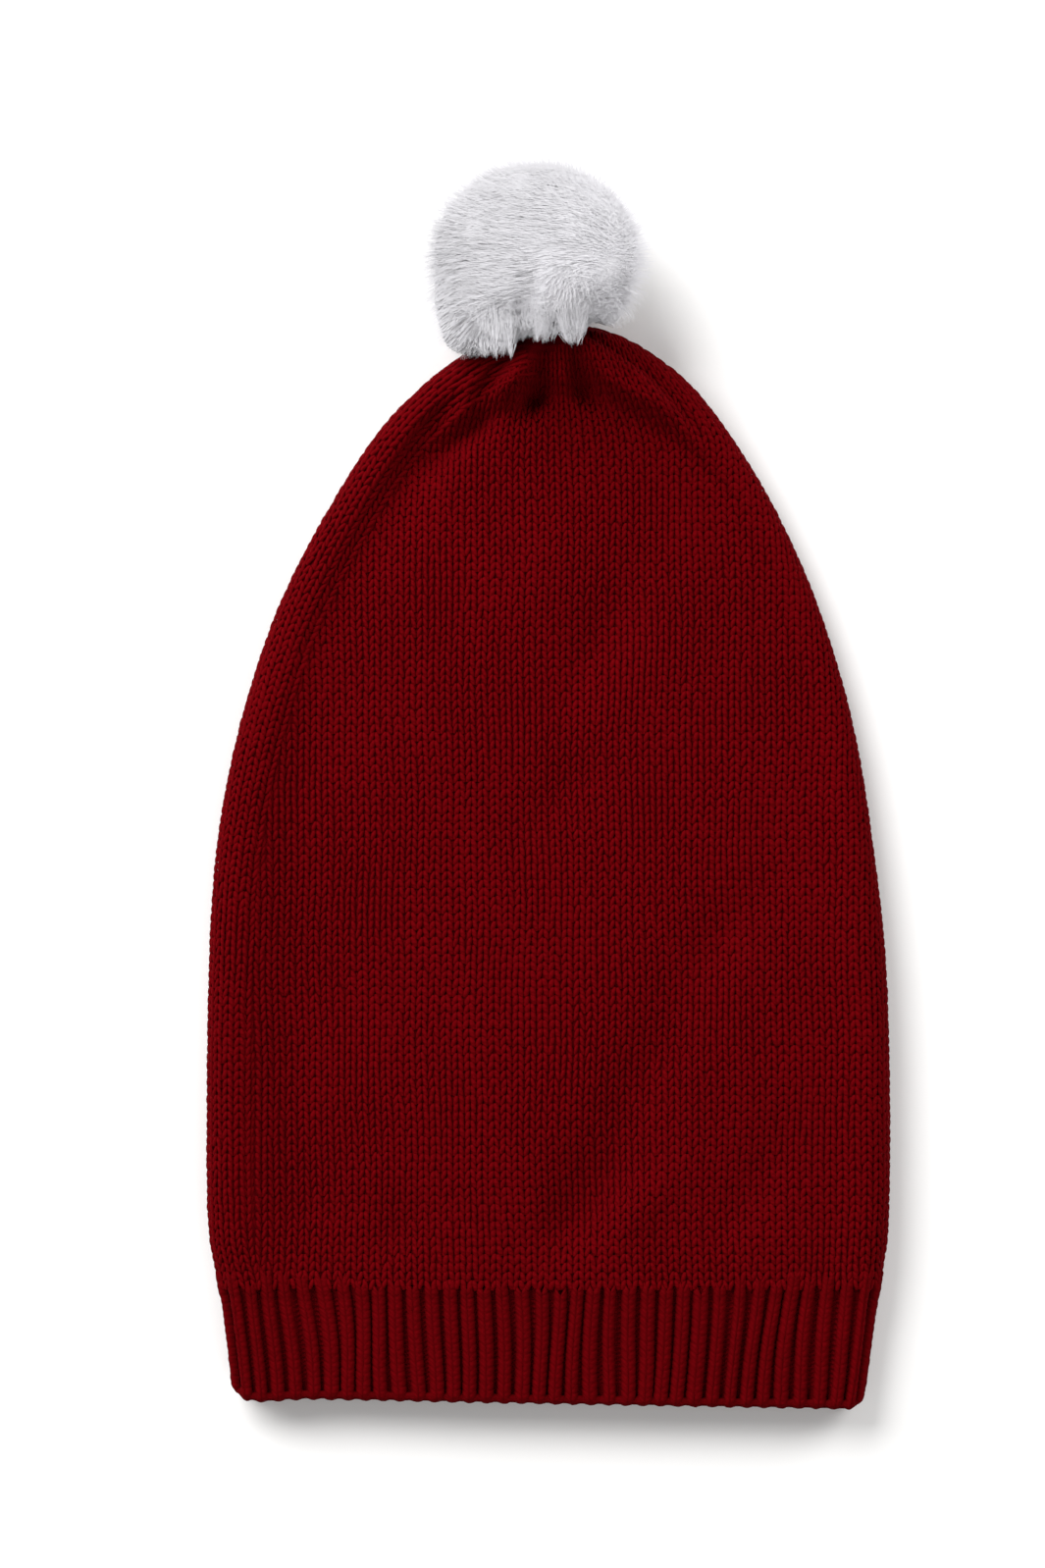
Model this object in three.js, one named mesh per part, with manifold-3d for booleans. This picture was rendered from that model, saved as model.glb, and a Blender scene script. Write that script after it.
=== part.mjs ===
// Knitted santa hat lying flat on its back: a hollow stockinette crown drawn up into gathers at the tip,
// a ribbed band round the opening and a faux-fur pompom sewn on the gathers.
// Millimetres. X runs across the hat, Y from the hem to the pompom, and Z up from the surface it lies on.
import * as THREE from "three";
import { mergeVertices } from "three/addons/utils/BufferGeometryUtils.js";
import Module from "manifold-3d";

const wasm = await Module();
wasm.setup();

// Driving dimensions
const knitWall = 2.6; // thickness of the knitted fabric
const pieceGap = 0.3; // clearance between neighbouring pieces
const bandHeight = 36; // hem to the top of the ribs
const tipHeight = 330.5; // hem to the end of the gathers
const hemDrop = 1.8; // how far the right end of the hem lies below its middle, and the left end above it
const ribDepth = 1.3; // groove between two ribs
const hemRoll = 3.5; // plain rolled edge below the ribs
const bunchedKnit = 7; // solid fabric where the gathers close the tip
const tipRound = 1.5; // rounded end of the gathers
const pleatRamp = 0.45; // part of its reach over which a pleat grows to its full depth
const foldBlend = 5; // stretch beside a folded edge over which dents and pleats run out
const bandBlend = 20; // stretch above the band over which the dents set in
const hemRound = 4.6; // corner radius where the hem meets the folded edges
const hemBump = { x: -87, width: 8, drop: 0.9 }; // where the hem hangs lower near its left end
const hemRoundTo = 14; // height at which that corner no longer shows
const roundestFold = 0.48; // largest part of the width that one folded edge takes up

const knitRed = 0x7d0612;
const furWhite = 0xe6e5e8;

// The flattened tube, from the hem to the tip: where its left and right edges lie and how thick it lies
const sections = [
  { up: 0, left: -96.8, right: 96.6, loft: 14.0 },
  { up: 18, left: -98.3, right: 98.7, loft: 14.2 },
  { up: 36, left: -100.8, right: 101.4, loft: 14.6 },
  { up: 52, left: -103.6, right: 103.6, loft: 15.6 },
  { up: 90, left: -104.2, right: 104.2, loft: 16.0 },
  { up: 135, left: -103.5, right: 102.9, loft: 16.0 },
  { up: 171, left: -101.1, right: 99.0, loft: 15.6 },
  { up: 207, left: -94.2, right: 93.0, loft: 15.2 },
  { up: 243, left: -82.5, right: 82.5, loft: 15.0 },
  { up: 273, left: -67.2, right: 69.2, loft: 15.2 },
  { up: 297, left: -51.6, right: 54.6, loft: 16.6 },
  { up: 312, left: -36.9, right: 42.3, loft: 19.0 },
  { up: 321, left: -24.6, right: 30.6, loft: 20.5 },
  { up: 326, left: -15.5, right: 21.5, loft: 20.0 },
  { up: 329, left: -7.5, right: 13.8, loft: 16.0 },
];

// How the front falls away from the thick folded edges: its depth, and how far from the edge it starts,
// is deepest and ends
const leftSink = [
  { up: 0, depth: 1.0, start: 7, deepest: 27, end: 80 },
  { up: 36, depth: 3.4, start: 7, deepest: 28, end: 90 },
  { up: 60, depth: 5.7, start: 7, deepest: 29, end: 95 },
  { up: 125, depth: 5.7, start: 7, deepest: 29, end: 95 },
  { up: 190, depth: 3.8, start: 7, deepest: 23, end: 70 },
  { up: 250, depth: 3.0, start: 7, deepest: 18, end: 42 },
  { up: 288, depth: 4.6, start: 7, deepest: 18, end: 34 },
  { up: 312, depth: 3.0, start: 7, deepest: 14, end: 26 },
];
const rightSink = [
  { up: 0, depth: 0.4, start: 6, deepest: 18, end: 60 },
  { up: 60, depth: 1.4, start: 6, deepest: 18, end: 60 },
  { up: 250, depth: 1.4, start: 6, deepest: 16, end: 40 },
  { up: 300, depth: 1.0, start: 6, deepest: 14, end: 26 },
];

// Soft dents in the front: middle, length along the dent, width, lean from the Y axis in degrees and depth,
// which is below 0 for a bulge
const dents = [
  { x: 11, up: 61, length: 62, width: 22, lean: 26, depth: 4.4 },
  { x: 33, up: 106, length: 48, width: 19, lean: 30, depth: 2.4 },
  { x: 28, up: 61, length: 34, width: 13, lean: 45, depth: -1.8 },
  { x: 50, up: 140, length: 46, width: 18, lean: 42, depth: 1.8 },
  { x: 62, up: 66, length: 44, width: 15, lean: 30, depth: 1.6 },
  { x: 16, up: 232, length: 46, width: 18, lean: 24, depth: 2.8 },
  { x: -4, up: 252, length: 36, width: 22, lean: 20, depth: -1.2 },
  { x: 5, up: 187, length: 34, width: 16, lean: 40, depth: 1.6 },
  { x: -48, up: 47, length: 22, width: 15, lean: 4, depth: 2.2 },
  { x: -19, up: 306, length: 22, width: 9, lean: 22, depth: 4.2 },
  { x: -29, up: 294, length: 32, width: 9, lean: 52, depth: 3.4 },
  { x: -3, up: 310, length: 18, width: 9, lean: 31, depth: 7.2 },
  { x: 11, up: 311, length: 15, width: 8, lean: -38, depth: 7.4 },
  { x: -12, up: 310, length: 18, width: 9, lean: 25, depth: -2.0 },
];

// The foot of the gathers: an arc under the pompom where the front steps up, running out to both sides
const gatherStep = { rise: 7.5, x: 5, up: 310.5, curve: 0.0125, ramp: 4.5, fadeFrom: 24, fadeTo: 50 };

// Pleats of the drawn-up tip: place across the half width, depth, which is below 0 for a puff between two
// pleats, width in half widths and reach from the tip
const pleats = [
  { at: -0.74, depth: 2.4, width: 0.13, reach: 46 },
  { at: -0.52, depth: 3.4, width: 0.09, reach: 36 },
  { at: -0.33, depth: -1.0, width: 0.1, reach: 32 },
  { at: -0.15, depth: 2.8, width: 0.075, reach: 33 },
  { at: 0.01, depth: -0.8, width: 0.08, reach: 28 },
  { at: 0.17, depth: 2.8, width: 0.07, reach: 28 },
  { at: 0.36, depth: -0.8, width: 0.12, reach: 28 },
  { at: 0.56, depth: 2.4, width: 0.11, reach: 26 },
  { at: 0.8, depth: 1.6, width: 0.09, reach: 18 },
];

// Rows of the ribbed band: how much of the full groove shows, and how far the rim is rounded in
const bandRows = [
  { up: 0, groove: 0.15, rounded: 0.5 },
  { up: hemRoll, groove: 1, rounded: 0 },
  { up: bandHeight - 3, groove: 1, rounded: 0 },
  { up: bandHeight, groove: 0.4, rounded: 0 },
];

// One rib: a groove, then a flat crest
const ribProfile = [
  { phase: 0, groove: 1 },
  { phase: 0.3, groove: 0 },
  { phase: 0.8, groove: 0 },
];

// The pompom's ball, by its middle and half sizes, and the locks of fur that stand out of it
const pompom = { x: -2.7, up: 350.3, height: 25.5, across: 28.0, along: 24.5, upward: 23.4 };
const lock = { count: 50, radius: 6.8, root: 10, proud: 4.5, uneven: 1.2, sides: 5, sweep: 0.3 };

// Half outline of a lock, in parts of its radius and its length
const lockOutline = [
  { out: 0, along: 0 },
  { out: 1, along: 0.5 },
  { out: 0.7, along: 0.85 },
  { out: 0, along: 1 },
];

// Steps of the mesh, and the ribs, along the back, right edge, front and left edge
const crownSteps = [12, 6, 28, 6];
const ribCounts = [34, 4, 34, 4];
const crownRings = { low: 14, gathersFrom: 290, high: 10 }; // steps below the gathers and in them
const ballSteps = { around: 16, over: 10 };
const mergeReach = 1e-4;

// Smooth value of one column of the sections at a height, by a cubic through the rows
function sectionValue(column, up) {
  const last = sections.length - 1;
  let row = sections.findIndex((section) => section.up > up) - 1;
  if (row < 0) row = last - 1;
  const slope = (i) => {
    const before = sections[Math.max(0, i - 1)];
    const after = sections[Math.min(last, i + 1)];
    return (after[column] - before[column]) / (after.up - before.up);
  };
  const from = sections[row];
  const to = sections[row + 1];
  const span = to.up - from.up;
  const t = (up - from.up) / span;
  const rise = from[column] * (1 + 2 * t) * (1 - t) ** 2 + to[column] * (3 - 2 * t) * t ** 2;
  return rise + span * (slope(row) * t * (1 - t) ** 2 - slope(row + 1) * (1 - t) * t ** 2);
}

function sectionAt(up) {
  const left = sectionValue("left", up);
  const right = sectionValue("right", up);
  const loft = sectionValue("loft", up);
  const fold = Math.min(loft / 2, roundestFold * (right - left));
  return { up, left, right, loft, fold };
}

function bell(offset, width) {
  return Math.exp(-((offset / width) ** 2));
}

// How far the drawn-up tip sinks the fabric into pleats at a place across the half width
function pleatDepth(up, place) {
  return pleats.reduce((sum, pleat) => {
    const start = tipHeight - pleat.reach;
    const grown = THREE.MathUtils.smoothstep(up, start, start + pleatRamp * pleat.reach);
    return sum + pleat.depth * grown * bell(place - pleat.at, pleat.width);
  }, 0);
}

// How far the front has fallen away from a folded edge, at a height and a distance from that edge
function edgeSink(rows, up, inFromEdge) {
  const next = rows.findIndex((row) => row.up > up);
  const to = next < 0 ? rows.at(-1) : rows[next];
  const from = next < 0 ? to : rows[Math.max(0, next - 1)];
  const t = to === from ? 0 : (up - from.up) / (to.up - from.up);
  const [depth, start, deepest, end] = ["depth", "start", "deepest", "end"].map((column) =>
    THREE.MathUtils.lerp(from[column], to[column], t),
  );
  const falling = THREE.MathUtils.smoothstep(inFromEdge, start, deepest);
  return depth * falling * (1 - THREE.MathUtils.smoothstep(inFromEdge, deepest, end));
}

// How far the front lies below its plain loft: the dents, the step of the gathers, the pleats and the edges
function frontSink(section, x, place) {
  const { up, left, right } = section;
  let sink = 0;
  for (const dent of dents) {
    const lean = THREE.MathUtils.degToRad(dent.lean);
    const along = (x - dent.x) * Math.sin(lean) + (up - dent.up) * Math.cos(lean);
    const across = (x - dent.x) * Math.cos(lean) - (up - dent.up) * Math.sin(lean);
    sink += dent.depth * bell(along, dent.length / 2) * bell(across, dent.width / 2);
  }
  const aside = x - gatherStep.x;
  const aboveStep = up - gatherStep.up + gatherStep.curve * aside ** 2;
  const fade = 1 - THREE.MathUtils.smoothstep(Math.abs(aside), gatherStep.fadeFrom, gatherStep.fadeTo);
  sink -= gatherStep.rise * fade * THREE.MathUtils.smoothstep(aboveStep, -gatherStep.ramp, gatherStep.ramp);
  sink *= THREE.MathUtils.smoothstep(up, bandHeight, bandHeight + bandBlend);
  return sink + pleatDepth(up, place) + edgeSink(leftSink, up, x - left) + edgeSink(rightSink, up, right - x);
}

// A point of the tube's skin, sunk below it by a depth. Lap 0 to 1 runs along the back, 1 to 2 round the
// right edge, 2 to 3 along the front and 3 to 4 round the left edge.
function skinPoint(section, lap, depth) {
  const { up, left, right, loft, fold } = section;
  const side = Math.floor(lap) % 4;
  const t = lap - Math.floor(lap);
  const onFace = side % 2 === 0;
  let x;
  let z;
  let inFromEdge;
  if (onFace) {
    x = THREE.MathUtils.lerp(left + fold, right - fold, side === 0 ? t : 1 - t);
    const place = (2 * x - left - right) / (right - left);
    const clear = THREE.MathUtils.smoothstep(Math.min(x - left, right - x) - fold, 0, foldBlend);
    const back = clear * Math.max(0, pleatDepth(up, -place));
    const front = loft - clear * frontSink(section, x, place);
    z = side === 0 ? back + depth : front - depth;
    inFromEdge = Math.min(x - left, right - x);
  } else {
    const turn = Math.PI * (t - 0.5);
    const reach = (fold - depth) * Math.cos(turn);
    x = side === 1 ? right - fold + reach : left + fold - reach;
    z = loft / 2 + (side === 1 ? 1 : -1) * (loft / 2 - depth) * Math.sin(turn);
    inFromEdge = fold * (1 - Math.cos(turn));
  }
  const beyond = THREE.MathUtils.clamp(hemRound - inFromEdge, 0, hemRound);
  const corner = hemRound - Math.sqrt(hemRound ** 2 - beyond ** 2);
  const raised = corner * (1 - THREE.MathUtils.clamp(up / hemRoundTo, 0, 1));
  const low = 1 - THREE.MathUtils.clamp(up / bandHeight, 0, 1);
  const bump = hemBump.drop * bell(x - hemBump.x, hemBump.width);
  return new THREE.Vector3(x, up + raised - low * (hemDrop * (x / right) + bump), z);
}

// Joins rings of equal length into a skin. A ring of one point closes an end, and a loop joins its two ends.
function skin(rings, loop = false) {
  const points = rings.flat();
  const starts = rings.map((_, i) => rings.slice(0, i).reduce((sum, ring) => sum + ring.length, 0));
  const faces = [];
  const pairs = rings.length - (loop ? 0 : 1);
  for (let i = 0; i < pairs; i += 1) {
    const j = (i + 1) % rings.length;
    const steps = Math.max(rings[i].length, rings[j].length);
    for (let k = 0; k < steps; k += 1) {
      const a = starts[i] + (k % rings[i].length);
      const b = starts[i] + ((k + 1) % rings[i].length);
      const c = starts[j] + ((k + 1) % rings[j].length);
      const d = starts[j] + (k % rings[j].length);
      if (a !== b) faces.push(a, c, b);
      if (c !== d) faces.push(a, d, c);
    }
  }
  return new THREE.BufferGeometry().setFromPoints(points).setIndex(faces);
}

// Rings of the crown from its lower rim to an end, closer together in the gathers. The inner and the outer
// skin share their heights, so that the wall stays even through every dent.
function crownRingsTo(end, depth) {
  const { low, gathersFrom, high } = crownRings;
  const laps = crownSteps.flatMap((count, side) => Array.from({ length: count }, (_, i) => side + i / count));
  const base = bandHeight + pieceGap;
  const highStep = (tipHeight - tipRound - gathersFrom) / high;
  const lower = Array.from({ length: low }, (_, i) => THREE.MathUtils.lerp(base, gathersFrom, i / low));
  const upper = Array.from({ length: high }, (_, i) => gathersFrom + i * highStep);
  const heights = [...lower, ...upper].filter((up) => up < end - highStep / 2);
  return [...heights, end].map((up) => laps.map((lap) => skinPoint(sectionAt(up), lap, depth)));
}

function ringMiddle(ring, up) {
  const middle = ring.reduce((sum, point) => sum.add(point), new THREE.Vector3()).divideScalar(ring.length);
  return [middle.setY(up)];
}

// The crown: an outer and an inner skin that meet at the rim, with the fabric bunched solid at the tip
function crownGeometry() {
  const innerEnd = tipHeight - bunchedKnit;
  const outside = crownRingsTo(tipHeight - tipRound, 0);
  const inside = crownRingsTo(innerEnd - tipRound, knitWall).reverse();
  const outerTip = ringMiddle(outside.at(-1), tipHeight);
  const innerTip = ringMiddle(inside[0], innerEnd);
  return skin([innerTip, ...inside, ...outside, outerTip]);
}

// The crown's outer form as one full solid, swollen by the gap, for cutting its seat into the pompom
function crownSeatGeometry() {
  const outside = crownRingsTo(tipHeight - tipRound, -pieceGap);
  const mouth = ringMiddle(outside[0], outside[0][0].y);
  return skin([mouth, ...outside, ringMiddle(outside.at(-1), tipHeight + pieceGap)]);
}

// The band: ribs all round, fading into a rolled hem below and into the crown above
function bandGeometry() {
  const steps = ribCounts.flatMap((count, side) =>
    Array.from({ length: count }, (_, rib) =>
      ribProfile.map(({ phase, groove }) => ({ lap: side + (rib + phase) / count, groove })),
    ).flat(),
  );
  const ring = (row, depth) =>
    steps.map(({ lap, groove }) => skinPoint(sectionAt(row.up), lap, depth + ribDepth * groove * row.groove));
  const outside = bandRows.map((row) => ring(row, row.rounded));
  const inside = bandRows.map((row) => ring(row, knitWall - row.rounded)).reverse();
  return skin([...inside, ...outside], true);
}

function solidOf(geometry) {
  const bare = geometry.clone();
  bare.deleteAttribute("normal");
  bare.deleteAttribute("uv");
  const merged = mergeVertices(bare, mergeReach);
  const vertProperties = merged.getAttribute("position").array;
  const triVerts = new Uint32Array(merged.index.array);
  return new wasm.Manifold(new wasm.Mesh({ numProp: 3, vertProperties, triVerts }));
}

function geometryOf(solid) {
  const mesh = solid.getMesh();
  const geometry = new THREE.BufferGeometry();
  geometry.setAttribute("position", new THREE.BufferAttribute(mesh.vertProperties, 3));
  geometry.setIndex(new THREE.BufferAttribute(mesh.triVerts, 1));
  return geometry;
}

// One lock of fur: a blunt tuft rooted in the ball, swept to the left and down the way the pile lies
function lockGeometry(index) {
  const level = 1 - (2 * index + 1) / lock.count;
  const turn = index * Math.PI * (3 - Math.sqrt(5));
  const round = Math.sqrt(1 - level ** 2);
  const outward = new THREE.Vector3(round * Math.cos(turn), round * Math.sin(turn), level);
  const swept = outward.clone().add(new THREE.Vector3(-lock.sweep, -lock.sweep / 2, 0)).normalize();
  const length = lock.root + lock.proud + lock.uneven * Math.sin(5 * index);
  const outline = lockOutline.map(({ out, along }) => new THREE.Vector2(out * lock.radius, along * length));
  const geometry = new THREE.LatheGeometry(outline, lock.sides);
  geometry.applyQuaternion(new THREE.Quaternion().setFromUnitVectors(new THREE.Vector3(0, 1, 0), swept));
  const rootBall = new THREE.Vector3(pompom.across, pompom.along, pompom.upward).subScalar(lock.root);
  const seat = outward.multiply(rootBall);
  return geometry.translate(seat.x, seat.y, seat.z);
}

// The pompom: locks fused to a ball, cut flat where it lies and hollowed where it sits on the gathers
function pompomGeometry() {
  const ball = new THREE.SphereGeometry(1, ballSteps.around, ballSteps.over);
  ball.scale(pompom.across, pompom.along, pompom.upward);
  const locks = Array.from({ length: lock.count }, (_, i) => solidOf(lockGeometry(i)));
  const fur = locks.reduce((sum, tuft) => sum.add(tuft), solidOf(ball));
  const placed = fur.translate([pompom.x, pompom.up, pompom.height]);
  const reach = 4 * pompom.across;
  const below = new THREE.BoxGeometry(reach, reach, reach).translate(pompom.x, pompom.up, -reach / 2);
  const cut = placed.subtract(solidOf(below)).subtract(solidOf(crownSeatGeometry()));
  const largest = cut.decompose().reduce((most, body) => (body.volume() > most.volume() ? body : most));
  return geometryOf(largest);
}

function piece(name, geometry, color, roughness) {
  const mesh = new THREE.Mesh(geometry, new THREE.MeshStandardMaterial({ color, roughness, metalness: 0 }));
  mesh.name = name;
  return mesh;
}

const hat = new THREE.Group();
hat.add(piece("crown", crownGeometry(), knitRed, 0.9));
hat.add(piece("rib_band", bandGeometry(), knitRed, 0.9));
hat.add(piece("pompom", pompomGeometry(), furWhite, 0.95));

// The origin is under the middle of the hat, on the surface that it lies on.
const box = new THREE.Box3().setFromObject(hat);
const middle = box.getCenter(new THREE.Vector3());
hat.position.set(-middle.x, -middle.y, -box.min.z);

const part = new THREE.Group();
part.add(hat);

export default part;
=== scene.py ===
import math

import bpy
import numpy as np
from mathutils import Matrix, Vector


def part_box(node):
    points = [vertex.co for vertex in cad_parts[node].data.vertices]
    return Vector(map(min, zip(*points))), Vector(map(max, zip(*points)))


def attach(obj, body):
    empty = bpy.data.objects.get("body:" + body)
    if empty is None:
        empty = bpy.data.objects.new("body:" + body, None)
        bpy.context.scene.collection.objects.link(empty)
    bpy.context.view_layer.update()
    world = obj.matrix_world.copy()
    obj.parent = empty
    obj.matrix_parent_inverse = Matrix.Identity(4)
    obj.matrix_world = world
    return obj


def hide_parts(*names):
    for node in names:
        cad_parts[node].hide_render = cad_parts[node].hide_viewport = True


# Knitted santa hat lying on its back, seen from straight above. Hat sizes are in millimetres:
# x across the hat, up from the hem towards the pompom, z above the surface that it lies on.

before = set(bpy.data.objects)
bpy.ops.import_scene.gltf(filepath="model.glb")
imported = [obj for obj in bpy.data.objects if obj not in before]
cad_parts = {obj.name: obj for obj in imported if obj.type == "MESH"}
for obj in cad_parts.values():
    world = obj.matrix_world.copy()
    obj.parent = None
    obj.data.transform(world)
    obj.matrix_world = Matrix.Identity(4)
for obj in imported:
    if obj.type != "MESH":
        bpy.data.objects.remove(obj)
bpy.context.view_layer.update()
mm = 0.001
nearZero = 1e-9
dice = np.random.default_rng(24)  # a fixed seed, so that every run is the same

hatShape = {  # the flattened tube, as in the solids
    "bandHeight": 36.0,
    "pieceGap": 0.3,
    "tipHeight": 330.5,
    "hemDrop": 1.8,  # right end of the hem below its middle
    "hemRound": 4.6,  # corner radius where the hem meets the folded edges
    "hemRoundTo": 14.0,  # height at which the corner no longer shows
    "hemBump": (-87.0, 8.0, 0.9),  # where the hem hangs lower near its left end: x, width, drop
    "roundestFold": 0.48,  # largest radius of a folded edge, in parts of the width
    "foldBlend": 5.0,  # how far in from a fold the dents reach their depth
    "bandBlend": 20.0,  # height over which the dents fade towards the band
    "pleatRamp": 0.45,  # part of its reach over which a pleat grows to full depth
    "steepestEdge": 1.6,  # most that the wales along the left edge lean over, across for one up
    "restHeight": 0.05,  # what rests on the floor is pressed flat here
    "sections": [  # up, left edge, right edge, loft
        (0, -96.8, 96.6, 14.0),
        (18, -98.3, 98.7, 14.2),
        (36, -100.8, 101.4, 14.6),
        (52, -103.6, 103.6, 15.6),
        (90, -104.2, 104.2, 16.0),
        (135, -103.5, 102.9, 16.0),
        (171, -101.1, 99.0, 15.6),
        (207, -94.2, 93.0, 15.2),
        (243, -82.5, 82.5, 15.0),
        (273, -67.2, 69.2, 15.2),
        (297, -51.6, 54.6, 16.6),
        (312, -36.9, 42.3, 19.0),
        (321, -24.6, 30.6, 20.5),
        (326, -15.5, 21.5, 20.0),
        (329, -7.5, 13.8, 16.0),
    ],
    # the face falls away from the thick folded edges: up, depth, then start, deepest and end from the edge
    "leftSink": [
        (0, 1.0, 7, 27, 80),
        (36, 3.4, 7, 28, 90),
        (60, 5.7, 7, 29, 95),
        (125, 5.7, 7, 29, 95),
        (190, 3.8, 7, 23, 70),
        (250, 3.0, 7, 18, 42),
        (288, 4.6, 7, 18, 34),
        (312, 3.0, 7, 14, 26),
    ],
    "rightSink": [
        (0, 0.4, 6, 18, 60),
        (60, 1.4, 6, 18, 60),
        (250, 1.4, 6, 16, 40),
        (300, 1.0, 6, 14, 26),
    ],
    "gatherStep": {  # foot of the gathers, an arc under the pompom
        "rise": 7.5,
        "x": 5.0,
        "up": 310.5,
        "curve": 0.0125,
        "ramp": 4.5,
        "fadeFrom": 24.0,
        "fadeTo": 50.0,
    },
    "dents": [  # x, up, length, width, lean in degrees, depth (a bulge below 0)
        (11, 61, 62, 22, 26, 4.4),
        (33, 106, 48, 19, 30, 2.4),
        (28, 61, 34, 13, 45, -1.8),
        (50, 140, 46, 18, 42, 1.8),
        (62, 66, 44, 15, 30, 1.6),
        (16, 232, 46, 18, 24, 2.8),
        (-4, 252, 36, 22, 20, -1.2),
        (5, 187, 34, 16, 40, 1.6),
        (-48, 47, 22, 15, 4, 2.2),
        (-19, 306, 22, 9, 22, 4.2),
        (-29, 294, 32, 9, 52, 3.4),
        (-3, 310, 18, 9, 31, 7.2),
        (11, 311, 15, 8, -38, 7.4),
        (-12, 310, 18, 9, 25, -2.0),
    ],
    "pleats": [  # place across the half width, depth (a puff below 0), width in half widths, reach
        (-0.74, 2.4, 0.13, 46),
        (-0.52, 3.4, 0.09, 36),
        (-0.33, -1.0, 0.10, 32),
        (-0.15, 2.8, 0.075, 33),
        (0.01, -0.8, 0.08, 28),
        (0.17, 2.8, 0.07, 28),
        (0.36, -0.8, 0.12, 28),
        (0.56, 2.4, 0.11, 26),
        (0.80, 1.6, 0.09, 18),
    ],
}
faceLap = {"back": 0.0, "front": 2.0}  # where each face starts on the way round
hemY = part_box("crown")[0].y / mm - hatShape["bandHeight"] - hatShape["pieceGap"]  # in the frame


def smoothRamp(value, start, end):
    t = np.clip((value - start) / (end - start), 0, 1)
    return t * t * (3 - 2 * t)


def bell(offset, width):
    return np.exp(-((offset / width) ** 2))


def unit(vectors):
    return vectors / np.maximum(np.linalg.norm(vectors, axis=-1, keepdims=True), nearZero)


def sectionAt(up):  # left edge, right edge, loft and fold radius at heights, by a cubic through the rows
    table = np.array(hatShape["sections"], float)
    knots = table[:, 0]
    values = table[:, 1:]
    last = len(knots) - 1
    ahead = np.minimum(np.arange(last + 1) + 1, last)
    behind = np.maximum(np.arange(last + 1) - 1, 0)
    slopes = (values[ahead] - values[behind]) / (knots[ahead] - knots[behind])[:, None]
    up = np.clip(up, knots[0], knots[-1])
    row = np.clip(np.searchsorted(knots, up, side="right") - 1, 0, last - 1)
    span = (knots[row + 1] - knots[row])[..., None]
    t = (up - knots[row])[..., None] / span
    value = values[row] * (1 + 2 * t) * (1 - t) ** 2 + values[row + 1] * (3 - 2 * t) * t**2
    value = value + span * (slopes[row] * t * (1 - t) ** 2 - slopes[row + 1] * (1 - t) * t**2)
    left, right, loft = np.moveaxis(value, -1, 0)
    fold = np.minimum(loft / 2, hatShape["roundestFold"] * (right - left))
    return left, right, loft, fold


def pleatDepth(up, place):
    tip = hatShape["tipHeight"]
    sink = np.zeros_like(place)
    for at, depth, width, reach in hatShape["pleats"]:
        grown = smoothRamp(up, tip - reach, tip - reach * (1 - hatShape["pleatRamp"]))
        sink += depth * grown * bell(place - at, width)
    return sink


def edgeSink(rows, up, inFromEdge):
    ups, *columns = np.array(rows, float).T
    depth, start, deepest, end = [np.interp(up, ups, column) for column in columns]
    return depth * smoothRamp(inFromEdge, start, deepest) * (1 - smoothRamp(inFromEdge, deepest, end))


def frontSink(up, left, right, x, place):  # how far the front lies below the loft
    sink = np.zeros_like(x)
    for dentX, dentUp, length, width, lean, depth in hatShape["dents"]:
        lean = math.radians(lean)
        along = (x - dentX) * math.sin(lean) + (up - dentUp) * math.cos(lean)
        across = (x - dentX) * math.cos(lean) - (up - dentUp) * math.sin(lean)
        sink += depth * bell(along, length / 2) * bell(across, width / 2)
    step = hatShape["gatherStep"]
    aboveStep = up - step["up"] + step["curve"] * (x - step["x"]) ** 2
    rise = step["rise"] * (1 - smoothRamp(np.abs(x - step["x"]), step["fadeFrom"], step["fadeTo"]))
    sink -= rise * smoothRamp(aboveStep, -step["ramp"], step["ramp"])
    band = hatShape["bandHeight"]
    sink = sink * smoothRamp(up, band, band + hatShape["bandBlend"]) + pleatDepth(up, place)
    sink = sink + edgeSink(hatShape["leftSink"], up, x - left)
    return sink + edgeSink(hatShape["rightSink"], up, right - x)


def skinPoint(lap, up, depth=0.0):  # lap 0-1 back, 1-2 right edge, 2-3 front, 3-4 left edge
    left, right, loft, fold = sectionAt(up)
    lap = np.mod(lap, 4.0)
    side = np.floor(lap).astype(int)
    t = lap - side
    x = left + fold + (right - left - 2 * fold) * np.where(side == 0, t, 1 - t)
    place = (2 * x - left - right) / (right - left)
    clear = smoothRamp(np.minimum(x - left, right - x) - fold, 0, hatShape["foldBlend"])
    backZ = clear * np.maximum(pleatDepth(up, -place), 0) + depth
    frontZ = loft - clear * frontSink(up, left, right, x, place) - depth
    z = np.where(side == 0, backZ, frontZ)
    turn = np.pi * (t - 0.5)
    reach = (fold - depth) * np.cos(turn)
    onRight = side == 1
    foldX = np.where(onRight, right - fold + reach, left + fold - reach)
    foldZ = loft / 2 + np.where(onRight, 1, -1) * (loft / 2 - depth) * np.sin(turn)
    onFold = side % 2 == 1
    inFromEdge = np.where(onFold, fold * (1 - np.cos(turn)), np.minimum(x - left, right - x))
    x = np.where(onFold, foldX, x)
    z = np.where(onFold, foldZ, z)
    low = 1 - np.clip(up / hatShape["bandHeight"], 0, 1)
    corner = hatShape["hemRound"]
    beyond = np.clip(corner - inFromEdge, 0, corner)
    raised = (corner - np.sqrt(corner**2 - beyond**2)) * (1 - np.clip(up / hatShape["hemRoundTo"], 0, 1))
    bumpX, bumpWidth, bumpDrop = hatShape["hemBump"]
    lower = low * (hatShape["hemDrop"] * x / right + bumpDrop * bell(x - bumpX, bumpWidth))
    return np.stack([x, up + raised - lower, z], -1)


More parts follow.
